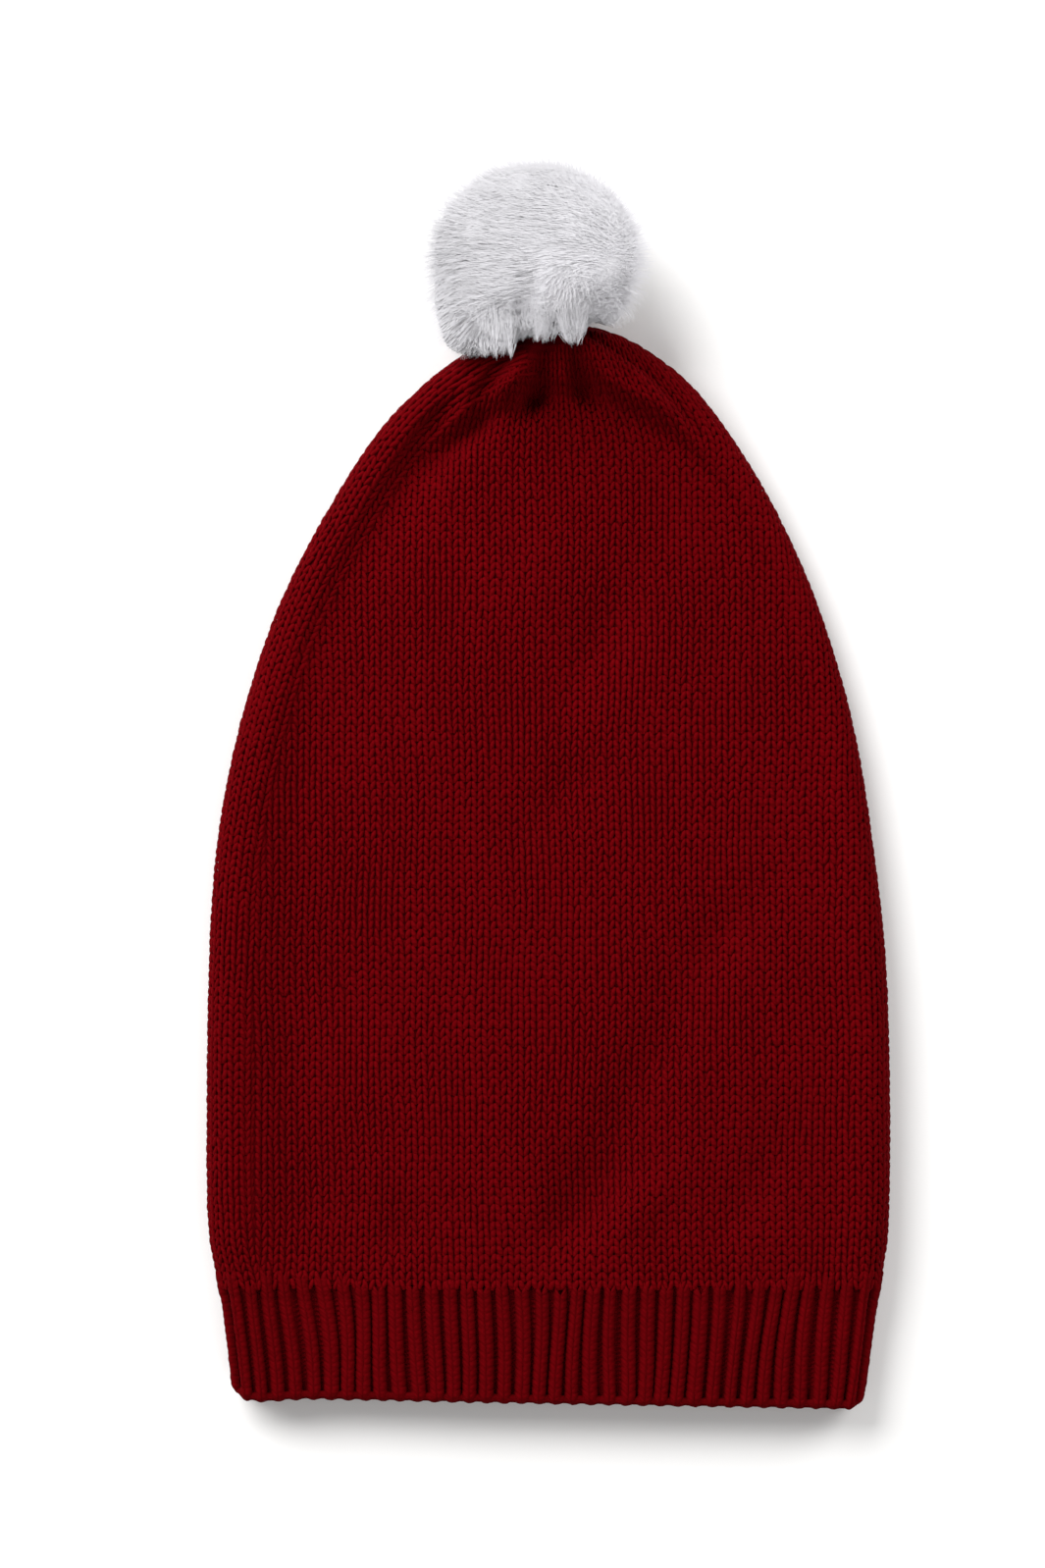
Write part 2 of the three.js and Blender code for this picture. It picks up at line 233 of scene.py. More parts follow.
def skinNormal(lap, up):  # outward, from a small step each way
    lapStep = 0.004
    upStep = 0.4
    sideways = skinPoint(lap + lapStep, up) - skinPoint(lap - lapStep, up)
    along = skinPoint(lap, up + upStep) - skinPoint(lap, up - upStep)
    return unit(np.cross(along, sideways))


def faceEdges(up, face):  # a face seen from its own side: the back is the front turned about the hat's length
    left, right, _, fold = sectionAt(up)
    if face == "back":
        left, right = -right, -left
    return left, right, fold


def lapOf(arc, up, face):  # arc runs across a face to its right, and on round both folded edges
    left, right, fold = faceEdges(up, face)
    flat = right - left - 2 * fold
    pastRight = np.maximum(arc - (right - fold), 0) / fold / np.pi
    pastLeft = np.maximum((left + fold) - arc, 0) / fold / np.pi
    across = np.clip((right - fold - arc) / flat, 0, 1)
    lap = faceLap[face] + across
    lap = np.where(pastRight > 0, faceLap[face] - pastRight, lap)
    return np.where(pastLeft > 0, faceLap[face] + 1 + pastLeft, lap)


def edgeLine(up, face):  # where the middle of the left fold lies, and the cosine and sine of its lean
    def middleOfFold(height):
        left, _, fold = faceEdges(height, face)
        return left + fold - fold * np.pi / 2

    step = 1.0
    slope = (middleOfFold(up + step) - middleOfFold(up - step)) / (2 * step)
    slope = np.minimum(slope, hatShape["steepestEdge"])
    length = np.sqrt(1 + slope**2)
    return middleOfFold(up), 1 / length, slope / length


def toFrame(points):  # hat millimetres to frame metres
    return (np.asarray(points) + np.array([0, hemY, 0])) * mm


def meshPiece(name, points, faceSets, uvs, material, nodes=()):
    mesh = bpy.data.meshes.new(name)
    corners = np.concatenate([faces.ravel() for faces in faceSets]).astype(np.int32)
    sizes = np.concatenate([np.full(len(faces), faces.shape[1]) for faces in faceSets])
    points = np.array(points)
    points[:, 2] = np.maximum(points[:, 2], hatShape["restHeight"])
    mesh.vertices.add(len(points))
    mesh.vertices.foreach_set("co", toFrame(points).astype(np.float32).ravel())
    mesh.loops.add(len(corners))
    mesh.polygons.add(len(sizes))
    starts = np.concatenate([[0], np.cumsum(sizes)[:-1]]).astype(np.int32)
    mesh.polygons.foreach_set("loop_start", starts)
    mesh.polygons.foreach_set("vertices", corners)
    mesh.update(calc_edges=True)
    mesh.shade_smooth()
    for layerName, values in uvs.items():
        layer = mesh.uv_layers.new(name=layerName)
        layer.uv.foreach_set("vector", values[corners].astype(np.float32).ravel())
    mesh.materials.append(material)
    piece = bpy.data.objects.new(name, mesh)
    bpy.context.scene.collection.objects.link(piece)
    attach(piece, "root")
    if nodes:
        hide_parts(*nodes)
    print(f"{name}: {len(points)} points, {int((sizes - 2).sum())} triangles")
    return piece


def stripFaces(count, rings, around):  # quads of many open strips, each of rings by around points
    ring, place = np.meshgrid(np.arange(rings - 1), np.arange(around - 1), indexing="ij")
    corner = (ring * around + place).ravel()
    quad = np.stack([corner, corner + 1, corner + around + 1, corner + around], -1)
    return (quad[None] + (np.arange(count) * rings * around)[:, None, None]).reshape(-1, 4)


def stripMaps(count, rings, around, cellShape, length=1.0):  # a cell for each strip, and its run in mm
    columns = math.ceil(math.sqrt(count * cellShape))  # cellShape: length of a cell to its width
    rows = math.ceil(count / columns)
    margin = 0.1
    stagger = 0.37  # each strip starts at another place of the yarn's twist
    across = np.linspace(margin, 1 - margin, around)
    along = np.linspace(margin, 1 - margin, rings)
    index = np.arange(count)
    u = ((index % columns)[:, None, None] + across[None, None, :]) / columns
    v = ((index // columns)[:, None, None] + along[None, :, None]) / rows
    shape = (count, rings, around)
    cell = np.stack([np.broadcast_to(u, shape), np.broadcast_to(v, shape)], -1).reshape(-1, 2)
    run = np.linspace(0, length, rings)[None, :, None] + (index * length * stagger)[:, None, None]
    side = np.linspace(0, 1, around)[None, None, :]
    yarn = np.stack([np.broadcast_to(side, shape), np.broadcast_to(run, shape)], -1).reshape(-1, 2)
    return {"OFBake": cell, "yarnRun": yarn}


def wallMaps(rings, around, girth=1.0):
    margin = 0.01
    tallest = 300.0
    u = np.linspace(0, 1, around, endpoint=False)
    v = np.linspace(margin, 1 - margin, rings)
    cell = np.stack(np.broadcast_arrays(u[None, :], v[:, None]), -1).reshape(-1, 2)
    heights = np.linspace(0, tallest, rings)
    yarn = np.stack(np.broadcast_arrays(u[None, :] * girth, heights[:, None]), -1).reshape(-1, 2)
    return {"OFBake": cell, "yarnRun": yarn}


def ringFaces(rings, around, loop=False):
    ring = np.arange(rings if loop else rings - 1)[:, None]
    place = np.arange(around)[None, :]
    following = (place + 1) % around
    nextRing = (ring + 1) % rings
    corners = [ring * around + place, nextRing * around + place]
    corners += [nextRing * around + following, ring * around + following]
    return np.stack(corners, -1).reshape(-1, 4)


def poleFans(rings, around):  # triangles that close the first and the last ring, each to a pole of its own
    total = rings * around
    place = np.arange(around)
    following = (place + 1) % around
    first = np.stack([np.full(around, total), place, following], -1)
    last = np.stack([np.full(around, total + 1), total - around + following, total - around + place], -1)
    return [first, last]


def withPoles(maps):
    poles = [[0.5, 0.002], [0.5, 0.998]]  # middle of the map's lower and upper edge
    return {name: np.concatenate([values, poles]) for name, values in maps.items()}


def hexColour(code):  # sRGB hex to linear
    channels = [int(code[i : i + 2], 16) / 255 for i in (1, 3, 5)]
    return [c / 12.92 if c <= 0.04045 else ((c + 0.055) / 1.055) ** 2.4 for c in channels] + [1.0]


def addNode(tree, kind, sockets=None, **settings):  # a node given as a value stands for its first output
    node = tree.nodes.new("ShaderNode" + kind)
    for key, value in settings.items():
        setattr(node, key, value)
    for socket, value in (sockets or {}).items():
        if isinstance(value, bpy.types.Node):
            value = value.outputs[0]
        if isinstance(value, bpy.types.NodeSocket):
            tree.links.new(value, node.inputs[socket])
        else:
            node.inputs[socket].default_value = value
    return node


def newMaterial(name):
    material = bpy.data.materials.new(name)
    material.use_nodes = True
    material.node_tree.nodes.clear()
    return material, material.node_tree


yarnLook = {
    "crest": "#580004",  # painted highlight: the yarn's top, painted lighter
    "side": "#4d0003",  # painted shade: where the yarn turns down between the loops, painted darker
    "paintedLitHalf": 0.12,  # half width of the painted lighter top, in parts of the yarn's width
    "leastTone": 0.71,
    "patchMm": 26.0,  # slow drift of the dye
    "patchTone": 0.16,
    "speckMm": 1.6,  # single fibres, painted lighter as a highlight where they would catch the light
    "paintedGlintTone": 0.42,
    "speckBump": 1.5,  # their height against that of the plies
    "twistMm": 1.3,  # drawn coarser than the real 0.8 mm ply, which would not show
    "twistSlant": 5.0,
    "bumpMm": 0.1,
    "roughness": 0.86,
    "sheen": 0.04,
    "sheenTint": "#b01822",
    "ribPaintedShade": 0.9,  # painted shade: the ribs' yarn is painted darker for the deeper self-shadowing of the tight, rounded ribs
}


def yarnMaterial(name, shade=1.0):
    # machine-knitted wool-blend yarn, softly spun and dyed: matt, with a faint halo of fibre ends
    look = yarnLook
    material, tree = newMaterial(name)
    run = addNode(tree, "UVMap", uv_map="yarnRun")
    split = addNode(tree, "SeparateXYZ", {"Vector": run})
    across = split.outputs["X"]
    along = split.outputs["Y"]
    middle = addNode(tree, "Math", {0: across, 1: 0.5}, operation="SUBTRACT")
    offMiddle = addNode(tree, "Math", {0: middle}, operation="ABSOLUTE")
    place = addNode(tree, "TexCoord").outputs["Object"]
    patch = addNode(tree, "TexNoise", {"Vector": place, "Scale": 1 / (look["patchMm"] * mm), "Detail": 2.0})
    speck = addNode(tree, "TexNoise", {"Vector": place, "Scale": 1 / (look["speckMm"] * mm), "Detail": 3.0})
    # painted light and shade: the colour is lighter along the yarn's top and darker where it turns down
    # between the loops
    paintedLitTop = addNode(
        tree,
        "MapRange",
        {"Value": offMiddle, "From Min": look["paintedLitHalf"], "From Max": 0.5, "To Min": 1.0, "To Max": 0.0},
    )
    # shade below 1 darkens the whole colour: painted shade, used for the ribs
    crest, side = [[shade * c for c in hexColour(look[key])[:3]] + [1.0] for key in ("crest", "side")]
    colour = addNode(tree, "Mix", {"Factor": paintedLitTop, "A": side, "B": crest}, data_type="RGBA")
    drift = addNode(
        tree, "Math", {0: patch, 1: look["patchTone"], 2: look["leastTone"]}, operation="MULTIPLY_ADD"
    )
    # painted highlight: the speck noise lightens the colour where single fibres would catch the light
    tone = addNode(tree, "Math", {0: speck, 1: look["paintedGlintTone"], 2: drift}, operation="MULTIPLY_ADD")
    mottled = addNode(tree, "HueSaturation", {"Color": colour.outputs["Result"], "Value": tone})
    plies = addNode(tree, "Math", {0: along, 1: 2 * math.pi / look["twistMm"]}, operation="MULTIPLY")
    slant = addNode(tree, "Math", {0: across, 1: look["twistSlant"], 2: plies}, operation="MULTIPLY_ADD")
    twist = addNode(tree, "Math", {0: slant}, operation="SINE")
    fuzz = addNode(tree, "Math", {0: speck, 1: look["speckBump"], 2: twist}, operation="MULTIPLY_ADD")
    bump = addNode(tree, "Bump", {"Height": fuzz, "Strength": 0.35, "Distance": look["bumpMm"] * mm})
    shader = addNode(
        tree,
        "BsdfPrincipled",
        {
            "Base Color": mottled,
            "Roughness": look["roughness"],
            "Specular IOR Level": 0.02,
            "Sheen Weight": look["sheen"],
            "Sheen Roughness": 0.45,
            "Sheen Tint": hexColour(look["sheenTint"]),
            "Normal": bump,
        },
    )
    addNode(tree, "OutputMaterial", {"Surface": shader})
    return material


knitYarn = yarnMaterial("machine-knitted wool-blend yarn")
# painted shade: a darker copy of the yarn for the ribs and the hem roll
ribYarnPaintedDarker = yarnMaterial("rib-knitted wool-blend yarn, painted darker", yarnLook["ribPaintedShade"])

knitBackLook = {
    # painted light and shade: the tops of the purl bumps are painted lighter (purl) than the hollows between
    # them (colour)
    "colour": "#540005",
    "purl": "#640006",
    "walePitch": 3.75,
    "coursePitch": 2.55,
    "arch": 0.9,  # how far a purl bump bows up in the middle of its wale
    "bumpMm": 0.5,
}


def knitBackMaterial():
    # the same fabric below its face and on the inside: purl bumps in rows, in its own shade
    look = knitBackLook
    material, tree = newMaterial("reverse of the wool-blend knit")
    run = addNode(tree, "UVMap", uv_map="yarnRun")
    split = addNode(tree, "SeparateXYZ", {"Vector": run})
    waleTurn = 2 * math.pi / look["walePitch"]
    courseTurn = 2 * math.pi / look["coursePitch"]
    across = addNode(tree, "Math", {0: split.outputs["X"], 1: waleTurn}, operation="MULTIPLY")
    along = addNode(tree, "Math", {0: split.outputs["Y"], 1: courseTurn}, operation="MULTIPLY")
    wale = addNode(tree, "Math", {0: across}, operation="SINE")
    arch = addNode(tree, "Math", {0: wale, 1: look["arch"], 2: along}, operation="MULTIPLY_ADD")
    purl = addNode(tree, "Math", {0: arch}, operation="SINE")
    # painted light and shade: lighter on the tops of the purl bumps, darker in the hollows between them
    factor = addNode(tree, "MapRange", {"Value": purl, "From Min": -1.0, "From Max": 1.0})
    shades = {"Factor": factor, "A": hexColour(look["colour"]), "B": hexColour(look["purl"])}
    colour = addNode(tree, "Mix", shades, data_type="RGBA")
    bump = addNode(tree, "Bump", {"Height": purl, "Strength": 0.6, "Distance": look["bumpMm"] * mm})
    shader = addNode(
        tree,
        "BsdfPrincipled",
        {
            "Base Color": colour.outputs["Result"],
            "Roughness": 0.9,
            "Specular IOR Level": 0.03,
            "Normal": bump,
        },
    )
    addNode(tree, "OutputMaterial", {"Surface": shader})
    return material


knitBack = knitBackMaterial()


# Crown wall: the fabric itself, just below the face loops and on the inside
crownWall = {
    "sunk": 0.85,
    "thick": 1.75,
    "steps": (36, 8, 100, 8),  # columns on the back, right edge, front and left edge
    "rings": 64,
    "crowding": 1.3,  # rings lie closer towards the tip
    "solidTip": 7.0,
    "tipRound": 1.5,
    "girth": 420.0,
}


def makeCrownWall():
    laps = np.concatenate([side + np.arange(n) / n for side, n in enumerate(crownWall["steps"])])
    base = hatShape["bandHeight"] + hatShape["pieceGap"]
    tip = hatShape["tipHeight"] - crownWall["tipRound"]
    share = 1 - (1 - np.linspace(0, 1, crownWall["rings"])) ** crownWall["crowding"]
    outerUp = base + (tip - base) * share
    innerUp = base + (tip - crownWall["solidTip"] - base) * share
    outside = skinPoint(laps[None, :], outerUp[:, None], crownWall["sunk"])
    inside = skinPoint(laps[None, :], innerUp[:, None], crownWall["sunk"] + crownWall["thick"])
    poles = [inside[-1].mean(0), outside[-1].mean(0) + np.array([0, crownWall["tipRound"], 0])]
    points = np.concatenate([inside[::-1].reshape(-1, 3), outside.reshape(-1, 3), poles])
    rings = 2 * crownWall["rings"]
    around = len(laps)
    maps = withPoles(wallMaps(rings, around, crownWall["girth"]))
    faces = [ringFaces(rings, around), *poleFans(rings, around)]
    meshPiece("crown_wall", points, faces, maps, knitBack, ["crown"])


makeCrownWall()


# Crown stitches: every loop of the stockinette as its two legs
stitches = {
    "walePitch": 3.65,
    "courseLow": 2.58,  # course height above the band
    "courseHigh": 2.4,  # and under the gathers
    "underBand": 0.5,  # the first course starts this far below the band's top
    "topCourse": 3.0,  # last course below the tip
    "topLeg": 1.6,  # and the nearest that a leg comes to the tip
    "edgeWales": 5,  # wales that run along the left edge
    "underEdge": 0.35,  # how far the other wales reach under them, in pitches
    "pastEdge": 0.6,  # and past the middle of the right fold
    "tuckOver": (-0.4, 0.5),  # where a wale dips under the edge wales, in pitches
    "tuckDepth": 0.6,
    "gatherFrom": 290.0,
    "gatherPinch": 0.62,
    "squareFrom": 60.0,  # edge courses turn square to the edge between these heights
    "squareTo": 130.0,
    "legPath": [  # across in pitches, along in courses, lift, half width
        (0.120, -0.14, -0.30, 0.57),
        (0.170, 0.16, 0.00, 0.70),
        (0.250, 0.48, 0.08, 0.74),
        (0.330, 0.80, -0.02, 0.71),
        (0.380, 1.10, -0.36, 0.58),
    ],
    "legHeight": 0.6,
    "legSunk": 0.3,
    "legLength": 3.3,
    "legPoints": {"front": 4, "back": 3},  # points across a leg
    "cellShape": 2.0,  # a leg's cell in the map, length to width
    "uneven": 0.06,
    "unevenAcross": 0.5,  # share of that from side to side
    "wander": 0.5,  # slow sideways drift of the wales, as hand-pulled knit has
    "wanderWaves": [(0.6, 19.0, 31.0, 0.0), (0.4, 8.3, -13.0, 1.3)],  # share, along, across, start
    "straighten": 0.4,  # how far the legs stand upright in some patches
    # waves across and along the hat, each with its sway and the size of that, and where they start
    "straightPatch": (9.0, 1.7, 21.0, 13.0, 1.1, 15.0, 2.1),
    "straightOver": (0.0, 0.9),
    "tightness": 0.16,  # how far patches of the knit are pulled tighter or looser
    "tightPatch": (23.0, 2.0, 37.0, 29.0, 1.4, 41.0, 0.7),
    "tightStreak": (5.1, 0.8, 24.0, 11.0, 17.0),  # across, sway, its size, along, slant
    "tightShares": (0.7, 0.5),  # of the patches and the streaks
}


def courses():
    heights = []
    up = hatShape["bandHeight"] - stitches["underBand"]
    top = hatShape["tipHeight"] - stitches["topCourse"]
    while up < top:
        share = (up - hatShape["bandHeight"]) / (top - hatShape["bandHeight"])
        height = stitches["courseLow"] + (stitches["courseHigh"] - stitches["courseLow"]) * share
        heights.append((up, height))
        up += height
    return np.array(heights)


def pinchAt(up):
    grown = smoothRamp(up, stitches["gatherFrom"], hatShape["tipHeight"])
    return 1 - (1 - stitches["gatherPinch"]) * grown


def wanderAt(arc, up):
    waves = stitches["wanderWaves"]
    return stitches["wander"] * sum(
        share * np.sin(up / along + arc / across + start) for share, along, across, start in waves
    )


def patchAt(arc, up, waves):  # from -1 to 1, in patches without a clear repeat
    across, acrossSway, acrossEvery, along, alongSway, alongEvery, start = waves
    sideways = np.sin(arc / across + acrossSway * np.sin(up / acrossEvery))
    return sideways * np.sin(up / along + alongSway * np.sin(arc / alongEvery) + start)


def tightnessAt(arc, up):
    across, sway, every, along, slant = stitches["tightStreak"]
    streak = np.sin(arc / across + sway * np.sin(up / every)) * np.sin(up / along + arc / slant)
    patchShare, streakShare = stitches["tightShares"]
    patch = patchAt(arc, up, stitches["tightPatch"])
    return 1 + stitches["tightness"] * (patchShare * patch + streakShare * streak)


def splayAt(arc, up):  # how far the two legs of a loop open out, which changes from patch to patch
    patch = patchAt(arc, up, stitches["straightPatch"])
    return 1 - stitches["straighten"] * smoothRamp(patch, *stitches["straightOver"])


def stitchCells(face):  # wale place, course, course height, whether it runs along the edge, tuck
    pitch = stitches["walePitch"]
    cells = []
    for up, height in courses():
        middle = np.array([up + height / 2])
        _, right, fold = faceEdges(middle, face)
        edge, upright, _ = edgeLine(middle, face)
        inner = edge[0] + stitches["edgeWales"] * pitch / upright[0]
        outer = (right - fold + fold * np.pi / 2)[0]
        pinch = pinchAt(middle)[0]
        for wale in range(stitches["edgeWales"]):
            if edge[0] + (wale + 1) * pitch / upright[0] < outer:
                cells.append(((wale + 0.5) * pitch, up, height, 1, 0))
        first = math.ceil((inner / pinch) / pitch - stitches["underEdge"])
        last = math.floor((outer / pinch) / pitch + stitches["pastEdge"])
        for wale in range(first, last + 1):
            tuck = 1 - smoothRamp(wale * pinch - inner / pitch, *stitches["tuckOver"])
            cells.append((wale * pitch, up, height, 0, tuck))
    return np.array(cells)


def stitchLegs(cells, face, around):  # points of every leg: cell, leg, ring, around
    place, up, height, onEdge, tuck = [column[:, None, None] for column in cells.T]
    legAcross, legAlong, legLift, legWidth = np.array(stitches["legPath"]).T
    sign = np.array([-1.0, 1.0])[None, :, None]
    uneven = dice.normal(0, stitches["uneven"], (4, len(cells), 2, 1))
    unevenAcross, unevenUp, unevenWidth, unevenLift = uneven
    pitch = stitches["walePitch"]
    legPlace = legAcross.mean() + (legAcross - legAcross.mean()) * splayAt(place, up)
    sideways = place + sign * legPlace * pitch + unevenAcross * pitch * stitches["unevenAcross"]
    upward = up + legAlong * height + unevenUp * height
    upward = np.clip(upward, 0, hatShape["tipHeight"] - stitches["topLeg"])
    edge, upright, leaning = edgeLine(upward, face)
    mainArc = sideways * pinchAt(upward) + wanderAt(sideways, upward)
    arc = np.where(onEdge > 0, edge + sideways * upright, mainArc)
    leaning = leaning * smoothRamp(upward, stitches["squareFrom"], stitches["squareTo"])
    upward = np.where(onEdge > 0, upward - sideways * leaning, upward)
    lap = lapOf(arc, upward, face)
    centre = skinPoint(lap, upward)
    normal = skinNormal(lap, upward)
    run = unit(np.gradient(centre, axis=2))
    across = unit(np.cross(run, normal))
    squeeze = np.where(onEdge > 0, 1.0, pinchAt(upward))
    halfWidth = legWidth * (1 + unevenWidth) * squeeze * tightnessAt(arc, upward)
    lift = legLift + unevenLift - stitches["tuckDepth"] * tuck
    turn = np.linspace(np.pi, 0, around)
    sideStep = np.cos(turn)[None, None, None, :, None] * halfWidth[..., None, None] * across[..., None, :]
    rise = lift[..., None] + np.sin(turn) * stitches["legHeight"] - stitches["legSunk"]
    return centre[..., None, :] + sideStep + rise[..., None] * normal[..., None, :]


def makeStitches(name, cells, face):
    around = stitches["legPoints"][face]
    legs = stitchLegs(cells, face, around)
    cellCount, legCount, rings = legs.shape[:3]
    count = cellCount * legCount
    maps = stripMaps(count, rings, around, stitches["cellShape"], stitches["legLength"])
    meshPiece(name, legs.reshape(-1, 3), [stripFaces(count, rings, around)], maps, knitYarn)


frontCells = stitchCells("front")
isLow = frontCells[:, 1] <= np.median(frontCells[:, 1])
makeStitches("crown_stitches_front_low", frontCells[isLow], "front")
makeStitches("crown_stitches_front_high", frontCells[~isLow], "front")
makeStitches("crown_stitches_back", stitchCells("back"), "back")


# Ribbed band: a corrugated wall, a column of loops on each rib and a rolled hem
ribBand = {
    "ribCounts": (34, 4, 34, 4),  # back, right edge, front, left edge
    "crest": 0.55,  # where a rib's crest lies in its share of the way round
    "groove": 2.2,
    "grooveAt": 0.05,
    "sunk": 0.9,
    "thick": 1.3,
    "girth": 400.0,
    "wallSteps": 6,  # points of the wall across one rib
    "wallRows": [  # height, share of the groove's depth
        (0.6, 0.1),
        (1.6, 0.4),
        (3.0, 0.9),
        (6.0, 1.0),
        (18.0, 1.0),
        (32.0, 0.9),
        (hatShape["bandHeight"], 0.1),
    ],
    "courseHeight": 2.3,
    "lowestLoop": 0.4,  # height of the ribs' lower ends
    "legPath": [  # along in courses, lift, width in parts of the section, step outwards
        (-0.15, -0.15, 0.96, -0.08),
        (0.20, 0.00, 0.97, -0.05),
        (0.55, 0.08, 1.00, 0.02),
        (0.90, 0.00, 1.00, 0.07),
        (1.20, -0.15, 0.98, 0.10),
    ],
    "legSection": [  # half of the rib's round section: across from its middle, lift
        (-0.05, 0.06),
        (0.38, 0.28),
        (0.88, 0.22),
        (1.34, -0.10),
        (1.90, -0.70),
        (2.22, -1.70),
    ],
    "legLength": 3.0,
    "cellShape": 2.0,
    "chevron": 0.4,  # slope of the loops towards the middle of a rib
    "unevenLift": 0.06,
    "unevenWidth": 0.08,
    "shortestRow": 0.3,  # in courses: what is left of a row past either end is dropped if shorter
    "topLift": 0.4,  # the ribs' upper ends lie over the first course
    "topLiftOver": (4.0, 1.0),  # and rise to it between these heights below the band's top
    "topRise": 1.0,  # how far they reach past the band in the middle of a face
    "edgeRise": 3.6,  # and how much farther towards the edges
    "edgeOver": (25.0, 85.0),  # between these distances from the middle
    "topUneven": 1.2,
    "topSpare": 3.0,  # room for the highest of them
    "topSplit": 2.6,  # height over which the two legs of a rib part at its top
    "topParting": 0.45,  # how far they part, in parts of the section
    "topSink": 0.9,  # and sink between the first loops
    "hemTurn": 2.1,  # radius at which the ribs turn under at the hem
    "wander": 0.38,
    "wanderWaves": [(1.0, 0.6, 9.0), (1.2, 1.1, 21.0)],  # share, turn from rib to rib, along
    "hemRadius": 1.5,
    "hemSunk": 0.45,
    "hemScallop": 0.3,
    "hemUneven": 0.12,
    "hemSteps": 8,  # points of the roll along one rib
    "hemAround": 14,
}


def ribLaps(phase):  # lap of a place on every rib
    laps = []
    for side, count in enumerate(ribBand["ribCounts"]):
        laps.append(side + (np.arange(count) + phase) / count)
    return np.concatenate(laps)


def ribWave(steps, crest):  # laps round the band, a few to a rib, and a wave that is 1 at crest
    phases = np.arange(steps) / steps
    laps = np.stack([ribLaps(phase) for phase in phases], -1).ravel()
    return laps, np.tile(np.cos(2 * np.pi * (phases - crest)), sum(ribBand["ribCounts"]))


def makeBandWall():
    laps, wave = ribWave(ribBand["wallSteps"], ribBand["grooveAt"])
    hollow = 0.5 + 0.5 * wave
    ups, shown = np.array(ribBand["wallRows"]).T
    depth = ribBand["sunk"] + ribBand["groove"] * shown[:, None] * hollow[None, :]
    outside = skinPoint(laps[None, :], ups[:, None], depth)
    inside = skinPoint(laps[None, :], ups[:, None], depth + ribBand["thick"])
    points = np.concatenate([inside[::-1], outside]).reshape(-1, 3)
    rings = 2 * len(ups)
    maps = wallMaps(rings, len(laps), ribBand["girth"])
    meshPiece("rib_band_wall", points, [ringFaces(rings, len(laps), True)], maps, knitBack, ["rib_band"])


def makeRibStitches():
    pathAlong, pathLift, pathWidth, pathOut = np.array(ribBand["legPath"]).T[..., None]
    sectionAcross, sectionLift = np.array(ribBand["legSection"]).T
    laps = ribLaps(ribBand["crest"])
    ribs = len(laps)
    band = hatShape["bandHeight"]
    lowest = ribBand["lowestLoop"]
    span = band + ribBand["topRise"] + ribBand["edgeRise"] + ribBand["topSpare"] - lowest
    rows = int(span / ribBand["courseHeight"])
    height = span / rows
    sign = np.array([-1.0, 1.0])[None, None, :, None, None]
    rib = np.arange(ribs)[:, None, None, None, None]
    up = (lowest + np.arange(rows) * height)[None, :, None, None]
    offset = dice.uniform(-0.5, 0.5, (ribs, 1, 1, 1)) * height  # neighbouring ribs are out of step
    upward = up + offset + pathAlong[:, 0] * height + np.zeros((ribs, 1, 2, 1))
    ribX = skinPoint(laps, np.full(ribs, band))[:, 0]
    top = band + ribBand["topRise"] + ribBand["edgeRise"] * smoothRamp(np.abs(ribX), *ribBand["edgeOver"])
    top = (top + dice.normal(0, ribBand["topUneven"], ribs))[:, None, None, None]
    upward = np.clip(upward, lowest, top)[..., None]
    whole = np.ptp(upward[..., 0], axis=-1).ravel() > ribBand["shortestRow"] * height
    parting = smoothRamp(upward, top[..., None] - ribBand["topSplit"], top[..., None])
    turn = ribBand["hemTurn"]
    turnedUnder = turn - np.sqrt(turn**2 - np.clip(turn - upward, 0, turn) ** 2)
    unevenLift = dice.normal(0, ribBand["unevenLift"], (ribs, rows, 2, 1, 1))
    left, right, _, fold = sectionAt(upward)
    sideOf = np.floor(laps)[:, None, None, None, None]
    perLap = np.where(sideOf % 2 == 1, np.pi * fold, right - left - 2 * fold)
    waves = ribBand["wanderWaves"]
    sway = sum(share * np.sin(turned * rib + upward / along) for share, turned, along in waves)
    sway = ribBand["wander"] * sway
    ownWidth = 1 + dice.normal(0, ribBand["unevenWidth"], (ribs, 1, 1, 1, 1))
    across = (sectionAcross * pathWidth + pathOut) * ownWidth
    across = across + parting * ribBand["topParting"] * (sectionAcross[-1] - sectionAcross)
    lap = laps[:, None, None, None, None] + (sign * across + sway) / perLap
    upward = np.broadcast_to(upward + ribBand["chevron"] * sectionAcross, lap.shape)
    lift = sectionLift + pathLift + unevenLift - ribBand["topSink"] * parting - turnedUnder
    liftFrom, liftTo = ribBand["topLiftOver"]
    lift = lift + ribBand["topLift"] * smoothRamp(upward, band - liftFrom, band - liftTo)
    legs = skinPoint(lap, upward) + lift[..., None] * skinNormal(lap, upward)
    legs[:, :, 1] = legs[:, :, 1, :, ::-1]  # both legs face outwards
    rings, around = legs.shape[3:5]
    legs = legs.reshape(-1, rings, around, 3)[whole]
    maps = stripMaps(len(legs), rings, around, ribBand["cellShape"], ribBand["legLength"])
    meshPiece("rib_stitches", legs.reshape(-1, 3), [stripFaces(len(legs), rings, around)], maps, ribYarnPaintedDarker)


